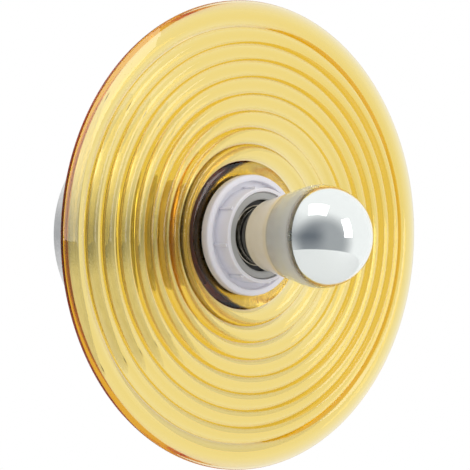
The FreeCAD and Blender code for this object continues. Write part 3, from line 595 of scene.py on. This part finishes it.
# ---- lampholder skirt -----------------------------------------------------------------------------
SKIRT_LIP_W = 1.0            # how far the front lip reaches inward
SKIRT_LIP_T = 2.2
SKIRT_FRONT_ROUND = 0.5
SKIRT_LIP_ROUND = 0.6
SKIRT_LIP_BACK_ROUND = 0.3
SKIRT_END = 0.8              # plain at each end of the thread
SKIRT_THREAD = 0.4           # depth of the skirt's thread

SKIRT_BORE = INSERT_R + SEAT_GAP
SKIRT_LIP_R = SKIRT_BORE - SKIRT_LIP_W


def skirt_outline():
    lip_back = SKIRT_FRONT - SKIRT_LIP_T
    thread = threaded_run(SKIRT_R, SKIRT_BACK + SKIRT_END, SKIRT_FRONT - SKIRT_END, SKIRT_THREAD, RING_PITCH)
    lip = rounded([(SKIRT_R, SKIRT_FRONT, SKIRT_FRONT_ROUND), (SKIRT_LIP_R, SKIRT_FRONT, SKIRT_LIP_ROUND),
                   (SKIRT_LIP_R, lip_back, SKIRT_LIP_BACK_ROUND), (SKIRT_BORE, lip_back, 0),
                   (SKIRT_BORE, SKIRT_BACK, 0), (SKIRT_R, SKIRT_BACK, 0)])
    return thread + lip


finish_piece("holder_sleeve", turned_mesh("holder_sleeve", skirt_outline(), THREAD_STEPS, RING_PITCH),
             "base", "holder_plastic", "holder_skirt", sharp=50)

# ---- screw shell ----------------------------------------------------------------------------------
SHELL_T = 0.4
SHELL_FLANGE_W = 5.2         # width of the shell's foot flange
SHELL_FOOT = 1.2             # the thread starts this far in front of the foot
SHELL_THREAD = 0.28          # depth of the shell's thread

SHELL_IN = SHELL_R - SHELL_T
SHELL_FLANGE_R = SHELL_R - SHELL_FLANGE_W


def shell_outline():
    """Rolled thread: inner and outer walls follow the same wave."""
    thread_start = SHELL_BACK + SHELL_FOOT
    inner = threaded_run(SHELL_IN, SHELL_FRONT, thread_start, SHELL_THREAD, CAP_PITCH)
    outer = threaded_run(SHELL_R, thread_start, SHELL_FRONT, SHELL_THREAD, CAP_PITCH)
    foot = [(SHELL_IN, SHELL_BACK + SHELL_T), (SHELL_FLANGE_R, SHELL_BACK + SHELL_T),
            (SHELL_FLANGE_R, SHELL_BACK), (SHELL_R, SHELL_BACK)]
    return inner + foot + outer


finish_piece("threaded_shell", turned_mesh("threaded_shell", shell_outline(), THREAD_STEPS, CAP_PITCH),
             "base", "shell_metal", "screw_shell", sharp=50)

# ---- bulb: glass and silvering --------------------------------------------------------------------
ENVELOPE_T = 0.8
NECK_INSET = 0.8             # the neck's root inside the cap's crests
NECK_FLARE = 4.2             # the neck stands this far over its root
NECK_SHOULDER = 4.2          # length of the bulge from root to neck
BULGE_OUT, BULGE_UP = 0.72, 0.3      # a point on the bulge, in shares of the flare and the shoulder
SHOULDER_STEPS, NECK_STEPS, BALL_STEPS, MIRROR_STEPS = 14, 10, 56, 40
MIRROR_START = 4.2           # the silvering starts this far in front of the ball's centre
MIRROR_GAP = 0.02            # silvering to the glass
MIRROR_T = 0.15

NECK_ROOT = CAP_R - NECK_INSET
NECK_R = NECK_ROOT + NECK_FLARE
NECK_TURN = CAP_FRONT + SEAT_GAP
BALL_BORE = BALL_R - ENVELOPE_T


def three_point_arc(a, b, c, count):
    """Points on the arc through three points, without its first one."""
    ax, ay, bx, by, cx, cy = *a, *b, *c
    d = 2 * (ax * (by - cy) + bx * (cy - ay) + cx * (ay - by))
    sa, sb, sc = ax * ax + ay * ay, bx * bx + by * by, cx * cx + cy * cy
    ux = (sa * (by - cy) + sb * (cy - ay) + sc * (ay - by)) / d
    uy = (sa * (cx - bx) + sb * (ax - cx) + sc * (bx - ax)) / d
    radius = math.hypot(ax - ux, ay - uy)
    first, second, third = (math.atan2(y - uy, x - ux) for x, y in (a, b, c))
    sweep = swing(first, second) + swing(second, third)
    angles = [first + sweep * k / count for k in range(1, count + 1)]
    return [(ux + radius * math.cos(angle), uy + radius * math.sin(angle)) for angle in angles]


def ball_arc(radius, start, steps):
    """Points on the globe from an angle in front of its equator to the pole."""
    angles = [start + (math.pi / 2 - start) * k / steps for k in range(steps + 1)]
    return [(radius * math.cos(angle), BALL_DEPTH + radius * math.sin(angle)) for angle in angles]


def envelope_side(inset):
    """Outer or inner side of the glass envelope, from the root of the neck to the pole."""
    ball, root, neck = BALL_R - inset, NECK_ROOT - inset, NECK_R - inset
    shoulder = NECK_TURN + NECK_SHOULDER
    reach = BALL_DEPTH - shoulder
    lean = math.asin(ball / math.hypot(neck, reach)) - math.atan2(neck, reach)
    side = [(root, GLASS_BACK), (root, NECK_TURN)]
    bulge = (root + (neck - root) * BULGE_OUT, NECK_TURN + NECK_SHOULDER * BULGE_UP)
    side += three_point_arc(side[-1], bulge, (neck, shoulder), SHOULDER_STEPS)
    touch_r, touch_depth = ball * math.cos(lean), BALL_DEPTH - ball * math.sin(lean)
    for k in range(1, NECK_STEPS):
        t = k / NECK_STEPS
        side.append((neck + (touch_r - neck) * t, shoulder + (touch_depth - shoulder) * t))
    return side + ball_arc(ball, -lean, BALL_STEPS)


def mirror_side(radius):
    return ball_arc(radius, math.asin(MIRROR_START / radius), MIRROR_STEPS)


envelope = envelope_side(0) + list(reversed(envelope_side(ENVELOPE_T)))
envelope_piece = finish_piece("bulb_envelope", turned_mesh("bulb_envelope", envelope, BULB_STEPS), "bulb",
                              "clear_glass", "bulb_glass", sharp=60)
envelope_piece.data.materials[0] = materials["neck_glass"]
mirror = mirror_side(BALL_BORE - MIRROR_GAP) + list(reversed(mirror_side(BALL_BORE - MIRROR_T)))
finish_piece("bulb_silvering", turned_mesh("bulb_silvering", mirror, BULB_STEPS), "bulb", "silver_mirror",
             "bulb_mirror", sharp=60)

# ---- bulb: screw cap ------------------------------------------------------------------------------
CAP_T = 0.35
CAP_SHOULDER = 1.6           # height of the taper at the foot
CAP_TAPER = 1.9              # the foot is this much smaller than the thread
CAP_LIP_W = 3.0
CAP_THREAD = 0.32            # depth of the cap's thread
CAP_PLAIN = 3.2              # the thread ends this far behind the rim
WAIST_START, WAIST_END = 2.6, 0.8    # of the waist behind the rim, back from the rim
WAIST_IN = 0.25
RIM_BEAD = 0.4
RIM_IN = 0.2                 # the inside narrows by this behind the rim


def cap_outline():
    shoulder = CAP_BACK + CAP_SHOULDER
    foot_r = CAP_R - CAP_TAPER
    lip = foot_r - CAP_LIP_W
    bore, waist = CAP_R - CAP_T, CAP_R - WAIST_IN
    outer = threaded_run(CAP_R, shoulder, CAP_FRONT - CAP_PLAIN, CAP_THREAD, CAP_PITCH)
    inner = threaded_run(bore, CAP_FRONT - CAP_PLAIN, shoulder + CAP_T, CAP_THREAD, CAP_PITCH)
    rim = [(waist, CAP_FRONT - WAIST_START), (waist, CAP_FRONT - WAIST_END), (CAP_R, CAP_FRONT - RIM_BEAD),
           (CAP_R, CAP_FRONT), (bore, CAP_FRONT), (bore - RIM_IN, CAP_FRONT - WAIST_END)]
    foot = [(foot_r - CAP_T, CAP_BACK + CAP_T), (lip, CAP_BACK + CAP_T), (lip, CAP_BACK), (foot_r, CAP_BACK)]
    return outer + rim + inner + foot


finish_piece("threaded_cap", turned_mesh("threaded_cap", cap_outline(), THREAD_STEPS, CAP_PITCH), "bulb",
             "cap_metal", "bulb_cap", sharp=50)

# ---- world ----------------------------------------------------------------------------------------
# The camera sees white. Mirrors and glass see a white room that is darker to the left at the lamp's height,
# and in front of the lamp a little to the left and below. Plain surfaces see an even level.
PLAIN_LEVEL = 0.84
ROOM_DARK = (0.0, 0.02, 0.05)
ROOM_WHITE = (1.0, 1.0, 1.0)
LEFT_PATCH = {"direction": (-0.966, 0.259, 0.0), "from_cos": 0.15, "to_cos": 0.75}
LEFT_SHARE = 0.60            # how much darker the room is there
LEFT_LOW, LEFT_HIGH = 0.05, 0.80     # the left patch fades out between these heights, up and down
FRONT_PATCH = {"direction": (-0.60, -0.75, -0.27), "from_cos": 0.20, "to_cos": 0.78}
FRONT_LEVEL = 0.40           # the room's level there

world = bpy.data.worlds.new("studio")
bpy.context.scene.world = world
world.use_nodes = True
w = Nodes(world.node_tree)
world_out = w.add("ShaderNodeOutputWorld")
path = w.add("ShaderNodeLightPath")
around = w.add("ShaderNodeTexCoord")


def toward(direction, from_cos, to_cos):
    """A soft patch of the room round one direction: 0 outside from_cos, 1 inside to_cos."""
    dot = w.add("ShaderNodeVectorMath", operation="DOT_PRODUCT")
    dot.inputs[1].default_value = direction
    w.join(around, "Generated", dot, 0)
    patch = ramp(w, dot, "Value", from_cos, to_cos, 0.0, 1.0)
    patch.interpolation_type = "SMOOTHSTEP"
    return patch


axes = w.add("ShaderNodeSeparateXYZ")
w.join(around, "Generated", axes, 0)
height = w.add("ShaderNodeMath", operation="ABSOLUTE")
w.join(axes, "Z", height, 0)
near_level = ramp(w, height, "Value", LEFT_LOW, LEFT_HIGH, 1.0, 0.0)
left = math_of(w, "MULTIPLY", toward(**LEFT_PATCH), "Result", near_level, "Result")
left_level = ramp(w, left, "Value", 0.0, 1.0, 1.0, 1.0 - LEFT_SHARE)
front_level = ramp(w, toward(**FRONT_PATCH), "Result", 0.0, 1.0, 1.0, FRONT_LEVEL)
room_level = math_of(w, "MULTIPLY", left_level, "Result", front_level, "Result")
room = tinted(w, room_level, "Value", ROOM_DARK, ROOM_WHITE)

mirrored = math_of(w, "MAXIMUM", path, "Is Glossy Ray", path, "Is Transmission Ray")
seen = math_of(w, "MAXIMUM", mirrored, "Value", path, "Is Camera Ray")
strength = ramp(w, seen, "Value", 0.0, 1.0, PLAIN_LEVEL, 1.0)
shown = w.add("ShaderNodeMix", data_type="RGBA")
shown.inputs[MIX_A].default_value = (1, 1, 1, 1)
w.join(mirrored, "Value", shown, MIX_FACTOR)
w.join(room, MIX_RESULT, shown, MIX_B)
background = w.add("ShaderNodeBackground")
w.join(shown, MIX_RESULT, background, "Color")
w.join(strength, "Result", background, "Strength")
w.join(background, "Background", world_out, "Surface")

# ---- lights and floor (metres, degrees and watts) -------------------------------------------------
LAMP_MIDDLE = Vector((0, -0.09, 0))
FLOOR_R = 0.62
FLOOR_AT = (0, -0.07, -0.32)
FLOOR_STEPS = 96


def soft_light(name, azimuth, elevation, distance, width, height, watts):
    """A soft box that faces the lamp; azimuth 0 is straight in front, positive to the right."""
    data = bpy.data.lights.new(name, "AREA")
    data.shape = "RECTANGLE"
    data.size, data.size_y, data.energy = width, height, watts
    light = bpy.data.objects.new(name, data)
    bpy.context.scene.collection.objects.link(light)
    a, e = math.radians(azimuth), math.radians(elevation)
    direction = Vector((math.sin(a) * math.cos(e), -math.cos(a) * math.cos(e), math.sin(e)))
    light.location = LAMP_MIDDLE + direction * distance
    light.rotation_euler = (-direction).to_track_quat("-Z", "Y").to_euler()


soft_light("key", azimuth=18, elevation=16, distance=1.3, width=0.45, height=0.8, watts=3.2)
soft_light("top", azimuth=-55, elevation=62, distance=1.2, width=0.8, height=0.6, watts=2.2)

floor_mesh = bpy.data.meshes.new("studio_floor")
bm = bmesh.new()
bmesh.ops.create_circle(bm, cap_ends=True, segments=FLOOR_STEPS, radius=FLOOR_R)
bm.to_mesh(floor_mesh)
bm.free()
floor = link("studio_floor", floor_mesh)
floor.location = FLOOR_AT
surface("pale_floor", (0.88, 0.88, 0.88), 0.7, grain=0.002, spread=0.01, grain_bump=0.02)
floor.data.materials.append(materials["pale_floor"])

scene = bpy.context.scene
scene.view_settings.view_transform = "Standard"
scene.cycles.max_bounces = 24
scene.cycles.transmission_bounces = 24
scene.cycles.glossy_bounces = 12
